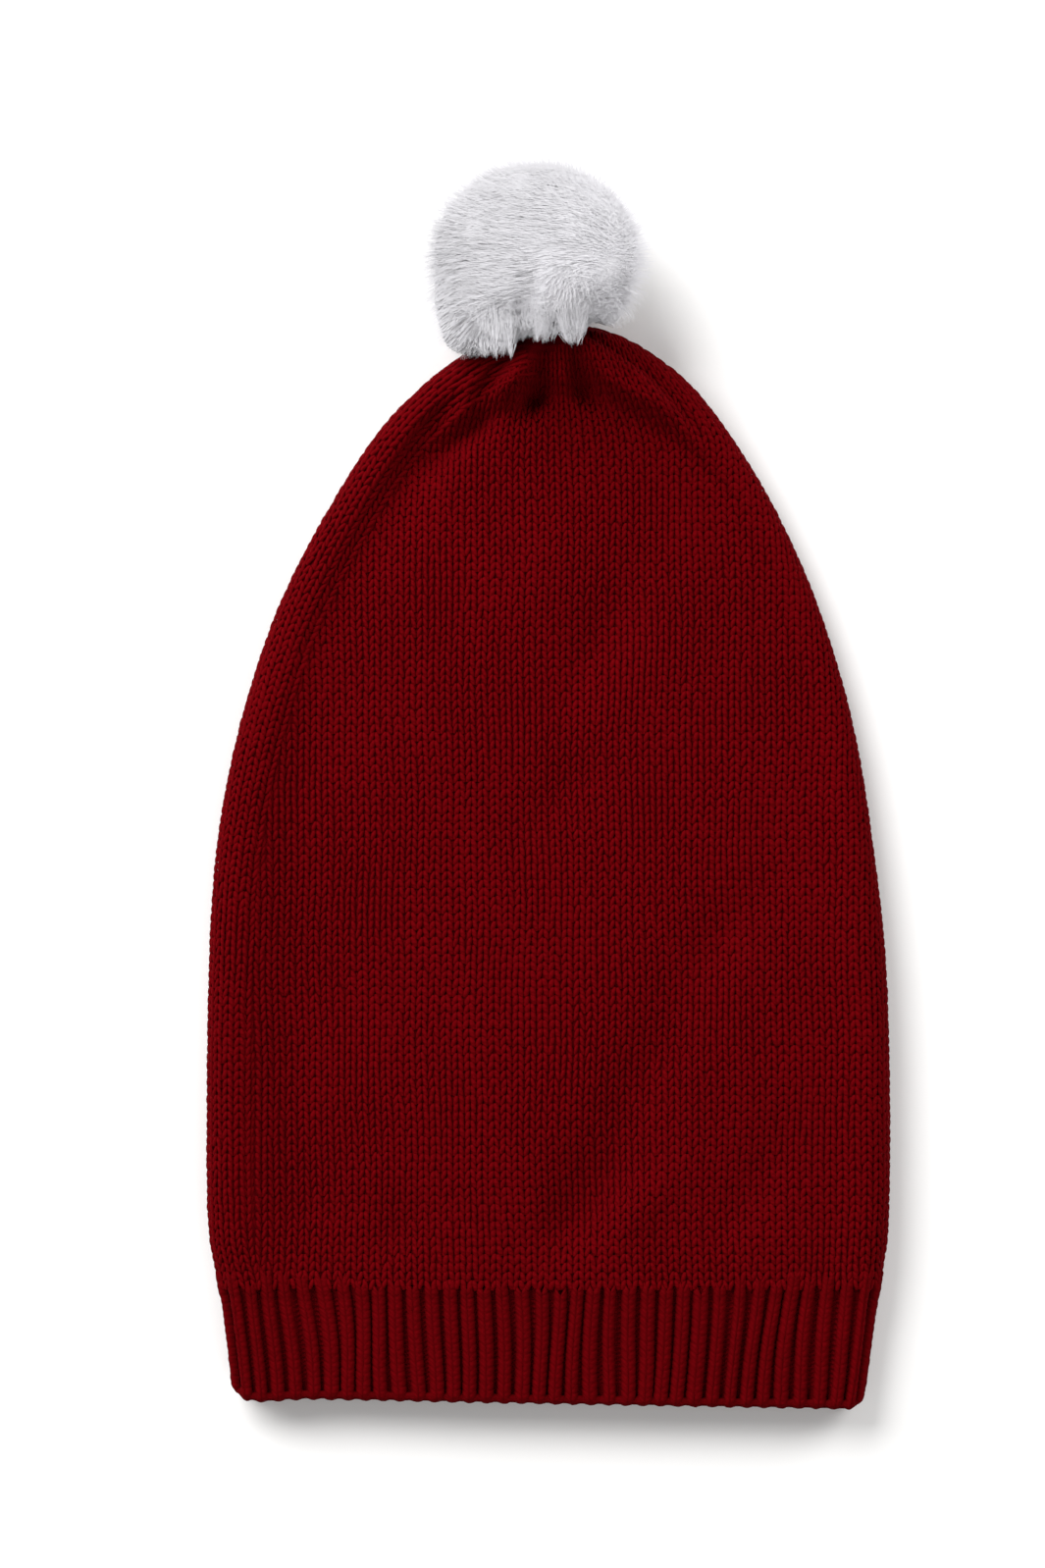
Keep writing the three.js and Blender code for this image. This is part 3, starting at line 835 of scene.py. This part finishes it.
def makeHemRoll():  # cast-on edge, turned under and swelling with each rib
    around = ribBand["hemAround"]
    laps, swell = ribWave(ribBand["hemSteps"], ribBand["crest"])
    swell = swell + dice.normal(0, ribBand["hemUneven"], len(laps))
    radius = ribBand["hemRadius"] + ribBand["hemScallop"] * swell
    turn = np.linspace(0, 2 * np.pi, around, endpoint=False)
    up = np.full(len(laps), ribBand["hemRadius"] + ribBand["hemScallop"])
    centre = skinPoint(laps, up, ribBand["hemRadius"] + ribBand["hemSunk"])
    normal = skinNormal(laps, up)
    upAxis = np.array([0, 1.0, 0])
    out = normal[:, None, :] * np.cos(turn)[None, :, None] + upAxis * np.sin(turn)[None, :, None]
    points = centre[:, None, :] + out * radius[:, None, None]
    rings = len(laps)
    maps = wallMaps(rings, around)
    meshPiece("hem_roll", points.reshape(-1, 3), [ringFaces(rings, around, True)], maps, ribYarnPaintedDarker)


makeBandWall()
makeRibStitches()
makeHemRoll()


# Pompom: a stuffed ball under a deep pile that lies in locks
pompomShape = {
    "middle": (-3.6, 349.4, 25.5),
    "halfSize": (31.0, 27.6, 27.0),
    "fuller": {  # where the pile stands out farther: direction, width, rise
        "lock": ((0.36, -0.34, 0.87), 0.22, 0.05),
        "left": ((-0.62, -0.78, 0.0), 0.42, 0.34),
        "right": ((0.70, -0.68, 0.2), 0.34, 0.1),
    },
    "parting": (-0.16, -0.50, 0.85),
    "partingSize": (0.13, 0.22),  # across and along
    "partingDepth": 0.14,
    "bottomTrim": 0.22,
    "trimOver": (0.45, 0.95),  # how far down the trim starts and is full, in half sizes
    "footOver": (0.55, 0.9),  # and the foot that hangs over the knit
    "sideOver": (0.5, 0.95),  # and, to the left, the side that falls back
    "flowOver": (-1.0, 0.1, 0.2),  # which way the pile lies on most of the ball
    "flowDown": (-0.15, -1.0, -0.1),  # and at the foot and on the full lock
    "flowBack": (0.0, -0.35, -0.95),  # and down the left side
    # the knit's peak, right of the foot: x, up
    "knitPeak": [(11.5, 330.4), (13.8, 329.4), (21.5, 326.4), (30.6, 321.4), (40.0, 314.0)],
    "behindPeak": 0.3,  # how far the pile is pressed together behind the knit's peak
    "overKnit": 0.9,  # the nearest that the pile comes to the knit's skin, clear of its stitches
    "overFloor": 0.4,
    "pressSoftness": 2.0,
    "softShade": (2.5, 4.2),  # how far the shade leans to the sky, under and on top: fibres scatter the light
    "softShadeOver": (-0.6, 0.3),  # between these heights on the ball
}
pileLie = {  # what the coat and its stray ends share
    "points": 4,  # along a fibre
    "rootSpread": 0.03,
    "curl": 0.015,
    "locks": 260,
    "lockSpread": 0.05,
    "lockLean": 0.015,
    "clump": 0.1,  # how far the fibres of a lock draw together at the foot
    "droop": 1.0,
    "footDroop": 5.0,  # the pile at the foot drapes over the knit
    "footStray": 0.25,  # share of the stray length that is left at the foot
    "buriedPast": 1.0,  # roots less than this past the knit's tip
    "buriedUnder": 21.0,  # and lower than this are inside the knit, so they are left out
    "skyward": 0.7,  # how far the flat side of each ribbon is turned up to the eye
    "facingSpread": 0.05,
    "tipWidth": 0.3,
    "taperCurve": 1.5,
    "cellShape": 12.0,  # a fibre's cell in the map, length to width
}
pileCoat = {
    "strands": 23000,
    "root": 0.87,  # where the pile starts, in parts of the whole
    "reach": (0.987, 1.0),
    "lay": 0.42,  # how far a fibre lies over from its root, in parts of the whole
    "rise": 0.72,  # half turns of the curve that a fibre rises on: past 0.5 its tip tucks back in
    "halfWidth": 0.15,
}
pileHalo = {  # stray fibre ends that make the edge soft
    "strands": 23000,
    "root": 0.88,
    "reach": (0.94, 1.17),
    "lay": 0.12,
    "rise": 0.5,
    "halfWidth": 0.055,
}
tuftShape = {  # pointed tufts that hang over the knit
    "rows": [  # x from, x to, height of the tips, tufts
        (-26.0, -21.0, 321.4, 5),
        (-21.5, -12.0, 318.0, 15),
        (-11.5, -5.5, 323.2, 12),
        (-5.0, 0.8, 322.2, 11),
        (1.0, 4.5, 325.6, 5),
        (4.8, 8.6, 321.6, 8),
        (8.6, 10.4, 324.4, 4),
    ],
    "fibres": 40,
    "halfWidth": 0.095,
    "taper": 0.85,
    "length": (2.5, 13.0),
    "reach": (0.72, 1.0),  # part of the way to the tip that a fibre goes
    "spread": 0.5,
    "rootSpread": 1.2,
    "rootDepth": 0.96,  # in parts of the whole
    "flattest": 0.05,  # square of the least height of a root on the ball
    "tipUneven": 1.2,
    "tipSpread": 0.45,
    "tipLift": 2.4,  # over the knit
    "sag": 1.0,
    "facing": (0.0, -0.3, 1.0),
    "facingSpread": 0.3,
}
packedBall = {  # the packed fibre under the loose ends
    "size": 0.962,
    "around": 96,
    "rings": 60,
    "poleGap": 0.03,
    "lumpDepth": 0.02,
    "lumpWaves": (7.0, 6.0, 5.0),
    "lumpStart": 3.0,
    "tone": 0.5,  # between the roots and the tips
}
furLook = {
    # painted shade: the fibres are painted greyer at the roots, deep in the pile, and brightest at the tips
    "root": "#b7b6b9",
    "tip": "#c9c8cb",
    "leastTone": 0.87,
    "lockMm": 9.0,  # patches of the pile that lie alike
    "lockTone": 0.14,
    "tone": 0.64,  # how much paler the fibres get at most, by random tone and by painted fill light
    "fibreShare": 0.2,  # part of that which changes from fibre to fibre at random; the rest, from side to side, is painted fill light
    "paintedFillSide": (0.57, -0.75, -0.2),  # painted light: the side painted most pale, where the ball shades itself from the key light
    "paintedFillOver": (-0.8, 0.8),
    "roughness": 0.85,
}
pileMiddle = np.array(pompomShape["middle"])
pileHalf = np.array(pompomShape["halfSize"])
alongFibre = np.linspace(0, 1, pileLie["points"])[None, :, None]


def furMaterial():
    # faux-fur pile of fine acrylic fibre: white, painted brightest at the tips and greyer down at the roots
    # as painted shade, and paler on its shaded side as painted fill light
    look = furLook
    material, tree = newMaterial("faux-fur acrylic pile")
    run = addNode(tree, "UVMap", uv_map="yarnRun")
    split = addNode(tree, "SeparateXYZ", {"Vector": run})
    shades = {"Factor": split.outputs["Y"], "A": hexColour(look["root"]), "B": hexColour(look["tip"])}
    colour = addNode(tree, "Mix", shades, data_type="RGBA")
    place = addNode(tree, "TexCoord").outputs["Object"]
    lock = addNode(tree, "TexNoise", {"Vector": place, "Scale": 1 / (look["lockMm"] * mm), "Detail": 2.0})
    lockTone = addNode(
        tree, "Math", {0: lock, 1: look["lockTone"], 2: look["leastTone"]}, operation="MULTIPLY_ADD"
    )
    tone = addNode(
        tree, "Math", {0: split.outputs["X"], 1: look["tone"], 2: lockTone}, operation="MULTIPLY_ADD"
    )
    toned = addNode(tree, "HueSaturation", {"Color": colour.outputs["Result"], "Value": tone})
    shader = addNode(
        tree,
        "BsdfPrincipled",
        {
            "Base Color": toned,
            "Roughness": look["roughness"],
            "Specular IOR Level": 0.06,
            "Sheen Weight": 0.05,
        },
    )
    addNode(tree, "OutputMaterial", {"Surface": shader})
    return material


furPile = furMaterial()


def spreadDirections(count):  # evenly over the ball, on a golden spiral
    index = np.arange(count) + 0.5
    level = 1 - 2 * index / count
    turn = index * np.pi * (3 - math.sqrt(5))
    ringSize = np.sqrt(1 - level**2)
    return np.stack([ringSize * np.cos(turn), ringSize * np.sin(turn), level], -1)


def outwards(points):
    return unit((points - pileMiddle) / pileHalf)


def knitTop(x, up):  # height of the knit's front
    left, right, loft, fold = sectionAt(up)
    place = (2 * x - left - right) / (right - left)
    inFromEdge = np.minimum(x - left, right - x)
    clear = smoothRamp(inFromEdge - fold, 0, hatShape["foldBlend"])
    overFold = np.clip(1 - inFromEdge / fold, 0, 1)
    onFold = loft / 2 * (1 + np.sqrt(1 - overFold**2))
    return np.where(overFold > 0, onFold, loft - clear * frontSink(up, left, right, x, place))


def clearOfHat(points):  # keeps the pile above the floor and out of the gathered knit
    x, up, z = np.moveaxis(points, -1, 0)
    z = np.maximum(z, pompomShape["overFloor"])
    left, right, _, _ = sectionAt(up)
    peakX, peakUp = np.array(pompomShape["knitPeak"]).T
    into = np.where(x > peakX[0], np.interp(x, peakX, peakUp) - up, 0)  # at the right the knit hides the pile
    up = np.where(into > 0, up + (1 + pompomShape["behindPeak"]) * into, up)
    insideHat = (up < hatShape["tipHeight"]) & (x > left) & (x < right) & (x <= peakX[0])
    over = z - knitTop(x, up) - pompomShape["overKnit"]
    lift = (np.sqrt(over**2 + pompomShape["pressSoftness"] ** 2) - over) / 2  # so fibres keep their order
    z = np.where(insideHat, z + lift, z)
    return np.stack([x, up, z], -1)


def nearFuller(out, name):
    spot, width, _ = pompomShape["fuller"][name]
    return bell(np.linalg.norm(out - unit(np.array(spot)), axis=-1), width)


def partingAt(out):
    spot = unit(np.array(pompomShape["parting"]))
    across, along = pompomShape["partingSize"]
    return bell(out[..., 0] - spot[0], across) * bell(out[..., 1] - spot[1], along) * (out[..., 2] > 0)


def pileReach(out):  # outline of the pile around the middle, 1 on the plain ball
    reach = 1 - pompomShape["partingDepth"] * partingAt(out)
    for name, (_, _, rise) in pompomShape["fuller"].items():
        reach = reach + rise * nearFuller(out, name)
    plain = np.clip(1 - nearFuller(out, "left") - nearFuller(out, "right"), 0, 1)
    return reach - pompomShape["bottomTrim"] * smoothRamp(-out[..., 1], *pompomShape["trimOver"]) * plain


def footOf(out):  # 1 where the pile hangs over the knit
    return smoothRamp(-out[..., 1], *pompomShape["footOver"])


def pileFlow(out):  # which way the pile lies along the ball
    down = np.clip(footOf(out) + nearFuller(out, "lock"), 0, 1)[..., None]
    side = smoothRamp(-out[..., :1], *pompomShape["sideOver"])
    flow = (1 - side) * np.array(pompomShape["flowOver"]) + side * np.array(pompomShape["flowBack"])
    flow = (1 - down) * flow + down * np.array(pompomShape["flowDown"])
    return flow - (flow * out).sum(-1, keepdims=True) * out


def ribbons(points, facing, halfWidth):  # both edges of a ribbon along each fibre: strand, point, side
    run = unit(np.gradient(points, axis=1))
    across = unit(np.cross(run, facing)) * halfWidth
    return np.stack([points - across, points + across], 2)


def pileStrands(coat):
    count = coat["strands"]
    out = unit(spreadDirections(count) + dice.normal(0, pileLie["rootSpread"], (count, 3)))
    locks = spreadDirections(pileLie["locks"])
    locks = unit(locks + dice.normal(0, pileLie["lockSpread"], locks.shape))
    lock = (out @ locks.T).argmax(1)
    lockLean = dice.normal(0, pileLie["lockLean"], locks.shape)
    lean = coat["lay"] * pileFlow(out) + lockLean[lock]
    lean = lean + (pileLie["clump"] * footOf(out))[:, None] * (locks[lock] - out)
    t = alongFibre
    curl = dice.normal(0, pileLie["curl"], (count, 1, 3))
    heading = unit(out[:, None] + t * lean[:, None] + np.sin(np.pi * t) * curl)
    shortest, longest = coat["reach"]
    scale = shortest + (longest - shortest) * dice.random((count, 1))
    stray = (scale - 1) * (1 - (1 - pileLie["footStray"]) * footOf(heading))
    reach = (pileReach(heading) + stray)[..., None]
    length = coat["root"] + (reach - coat["root"]) * np.sin(np.pi * coat["rise"] * t)
    points = pileMiddle + heading * pileHalf * length
    points[..., 2] -= (pileLie["droop"] + pileLie["footDroop"] * footOf(heading)) * t[..., 0] ** 2
    points = clearOfHat(points)
    nearTip = points[:, 0, 1] < hatShape["tipHeight"] + pileLie["buriedPast"]
    keep = ~(nearTip & (points[:, 0, 2] < pileLie["buriedUnder"]))
    points = points[keep]
    skyward = np.array([0, 0, pileLie["skyward"]])
    spread = dice.normal(0, pileLie["facingSpread"], (len(points), 1, 3))
    facing = unit(out[keep][:, None] + skyward + spread)
    taper = 1 - (1 - pileLie["tipWidth"]) * t ** pileLie["taperCurve"]
    return ribbons(points, facing, coat["halfWidth"] * taper)


def tuftRoots(tip):  # on the ball, above the tip
    fibres = tuftShape["fibres"]
    root = np.tile(tip + np.array([dice.normal(0, tuftShape["rootSpread"]), 0, 0]), (fibres, 1))
    root[:, 0] += dice.normal(0, tuftShape["rootSpread"], fibres)
    root[:, 1] += dice.uniform(*tuftShape["length"], fibres)
    flat = ((root - pileMiddle) / pileHalf)[:, :2]
    level = np.sqrt(np.maximum(1 - (flat**2).sum(-1), tuftShape["flattest"]))
    trim = pileReach(np.stack([flat[:, 0], flat[:, 1], level], -1))
    root[:, 2] = pileMiddle[2] + tuftShape["rootDepth"] * pileHalf[2] * level * trim
    return root[:, None]


def tuftStrands():
    t = alongFibre
    fibres = tuftShape["fibres"]
    tufts = []
    for fromX, toX, tipUp, count in tuftShape["rows"]:
        for tipX in np.linspace(fromX, toX, count) + dice.normal(0, tuftShape["spread"], count):
            tipHigh = tipUp + abs(dice.normal(0, tuftShape["tipUneven"]))
            tipZ = float(knitTop(np.array(tipX), np.array(tipHigh))) + tuftShape["tipLift"]
            tip = np.array([tipX, tipHigh, tipZ])
            root = tuftRoots(tip)
            length = dice.uniform(*tuftShape["reach"], (fibres, 1, 1))
            tips = tip + dice.normal(0, tuftShape["tipSpread"], (fibres, 1, 3))
            points = root + (tips - root) * t * length
            points[..., 2] += (tuftShape["sag"] * np.sin(np.pi * t))[..., 0]  # over the edge and down
            points = clearOfHat(points)
            spread = dice.normal(0, tuftShape["facingSpread"], (fibres, 1, 3))
            facing = unit(np.array(tuftShape["facing"]) + spread)
            tufts.append(ribbons(points, facing, tuftShape["halfWidth"] * (1 - tuftShape["taper"] * t)))
    return np.concatenate(tufts)


def toneWithPaintedFill(points, chance):  # tone of each point, 0 to 1: random from fibre to fibre, and painted fill light towards the ball's shaded side
    share = furLook["fibreShare"]
    towards = outwards(points) @ unit(np.array(furLook["paintedFillSide"]))
    return share * chance + (1 - share) * smoothRamp(towards, *furLook["paintedFillOver"])


def shadeSoftly(piece, points):  # the pile shades as one soft mass
    out = outwards(points)
    under, top = pompomShape["softShade"]
    lean = under + (top - under) * smoothRamp(out[:, 2], *pompomShape["softShadeOver"])
    shade = unit(out + lean[:, None] * np.array([0, 0, 1.0]))
    piece.data.normals_split_custom_set_from_vertices(shade.tolist())


def makePile(name, ribbon, nodes):
    shape = ribbon.shape[:3]
    count, steps, sides = shape
    maps = stripMaps(count, steps, sides, pileLie["cellShape"])
    along = np.broadcast_to(np.linspace(0, 1, steps)[None, :, None], shape)
    # painted fill light: paler towards the ball's shaded side, with a random tone for each fibre
    tone = toneWithPaintedFill(ribbon, np.broadcast_to(dice.random((count, 1, 1)), shape))
    maps["yarnRun"] = np.stack([tone, along], -1).reshape(-1, 2)
    points = ribbon.reshape(-1, 3)
    piece = meshPiece(name, points, [stripFaces(count, steps, sides)], maps, furPile, nodes)
    shadeSoftly(piece, points)


def makeBall():
    around = packedBall["around"]
    rings = packedBall["rings"]
    turn = np.linspace(0, 2 * np.pi, around, endpoint=False)[None, :]
    tilt = np.linspace(packedBall["poleGap"], np.pi - packedBall["poleGap"], rings)[:, None]
    across = np.sin(tilt) * np.cos(turn)
    along = np.sin(tilt) * np.sin(turn)
    level = np.cos(tilt) * np.ones_like(turn)
    waveAcross, waveAlong, waveUp = packedBall["lumpWaves"]
    lumps = packedBall["lumpDepth"] * np.sin(waveAcross * across + packedBall["lumpStart"])
    lumps = 1 + lumps * np.sin(waveAlong * along) * np.cos(waveUp * level)
    out = np.stack([across, along, level], -1)
    whole = out * pileHalf * packedBall["size"] * lumps[..., None]
    points = pileMiddle + whole * np.minimum(pileReach(out), 1)[..., None]
    points = clearOfHat(points.reshape(-1, 3))
    maps = wallMaps(rings, around)
    # painted fill light on the packed ball as well
    maps["yarnRun"][:, 0] = toneWithPaintedFill(points, packedBall["tone"])
    maps["yarnRun"][:, 1] = packedBall["tone"]
    points = np.concatenate([points, [points[:around].mean(0), points[-around:].mean(0)]])
    faces = [ringFaces(rings, around), *poleFans(rings, around)]
    core = meshPiece("pompom_ball", points, faces, withPoles(maps), furPile, ())
    shadeSoftly(core, points)


makePile("pompom_pile", np.concatenate([pileStrands(pileCoat), tuftStrands()]), ["pompom"])
makePile("pompom_halo", pileStrands(pileHalo), ())
makeBall()


# Floor, light and camera
studio = {
    "floor": "#f2f1f0",
    "floorSize": 6.0,
    "grainMm": 60.0,
    "grainTone": 0.02,
    "leastTone": 0.99,
    "world": 0.33,
    "lamps": [  # name, place, size, power
        ("key softbox", (-1.2, 1.3, 1.1), 2.0, 84.0),
        ("side softbox", (1.3, 1.1, 1.0), 1.1, 22.0),
        ("fill softbox", (0.4, -1.5, 1.3), 1.5, 9.0),
    ],
}


def makeFloor():
    half = studio["floorSize"] / 2
    corners = [(-half, -half, 0), (half, -half, 0), (half, half, 0), (-half, half, 0)]
    mesh = bpy.data.meshes.new("floor")
    mesh.from_pydata(corners, [], [(0, 1, 2, 3)])
    material, tree = newMaterial("pale matt paper sweep")  # plain and even, so only the hat draws the eye
    place = addNode(tree, "TexCoord").outputs["Object"]
    grain = addNode(tree, "TexNoise", {"Vector": place, "Scale": 1 / (studio["grainMm"] * mm), "Detail": 2.0})
    tone = addNode(
        tree, "Math", {0: grain, 1: studio["grainTone"], 2: studio["leastTone"]}, operation="MULTIPLY_ADD"
    )
    colour = addNode(tree, "HueSaturation", {"Color": hexColour(studio["floor"]), "Value": tone})
    finish = {"Base Color": colour, "Roughness": 0.95, "Specular IOR Level": 0.1}
    shader = addNode(tree, "BsdfPrincipled", finish)
    addNode(tree, "OutputMaterial", {"Surface": shader})
    mesh.materials.append(material)
    floor = bpy.data.objects.new("floor", mesh)
    bpy.context.scene.collection.objects.link(floor)


def addLamp(name, place, size, power):
    lamp = bpy.data.lights.new(name, "AREA")
    lamp.shape = "DISK"
    lamp.size = size
    lamp.energy = power
    holder = bpy.data.objects.new(name, lamp)
    holder.location = place
    holder.rotation_euler = (-Vector(place)).to_track_quat("-Z", "Y").to_euler()
    bpy.context.scene.collection.objects.link(holder)


def makeLight():
    world = bpy.data.worlds.new("studio air")
    world.use_nodes = True
    background = world.node_tree.nodes["Background"]
    background.inputs["Color"].default_value = (1, 1, 1, 1)
    background.inputs["Strength"].default_value = studio["world"]
    bpy.context.scene.world = world
    for lamp in studio["lamps"]:
        addLamp(*lamp)
    bpy.context.scene.view_settings.view_transform = "Standard"


photoView = {
    "imagePixels": (1065, 1598),
    "mmPerPixel": 0.3,
    "hemMiddlePixel": (559, 1430),  # where x 0, up 0 of the hat lies in the picture
    "eyeHeight": 1.6,  # metres above the plane that the scale is measured in
    "scalePlane": 8.0,  # mm above the floor
}


def makeCamera():
    wide, tall = photoView["imagePixels"]
    hemX, hemPixelY = photoView["hemMiddlePixel"]
    scale = photoView["mmPerPixel"]
    camera = bpy.data.cameras.new("camera")
    camera.sensor_width = 36.0
    camera.lens = camera.sensor_width * photoView["eyeHeight"] / (tall * scale * mm)
    camera.clip_end = 20.0
    holder = bpy.data.objects.new("camera", camera)
    aim = toFrame([(wide / 2 - hemX) * scale, (hemPixelY - tall / 2) * scale, photoView["scalePlane"]])
    holder.location = aim + np.array([0, 0, photoView["eyeHeight"]])
    bpy.context.scene.collection.objects.link(holder)
    bpy.context.scene.camera = holder


makeFloor()
makeLight()
makeCamera()
print("floor, light and camera are set")
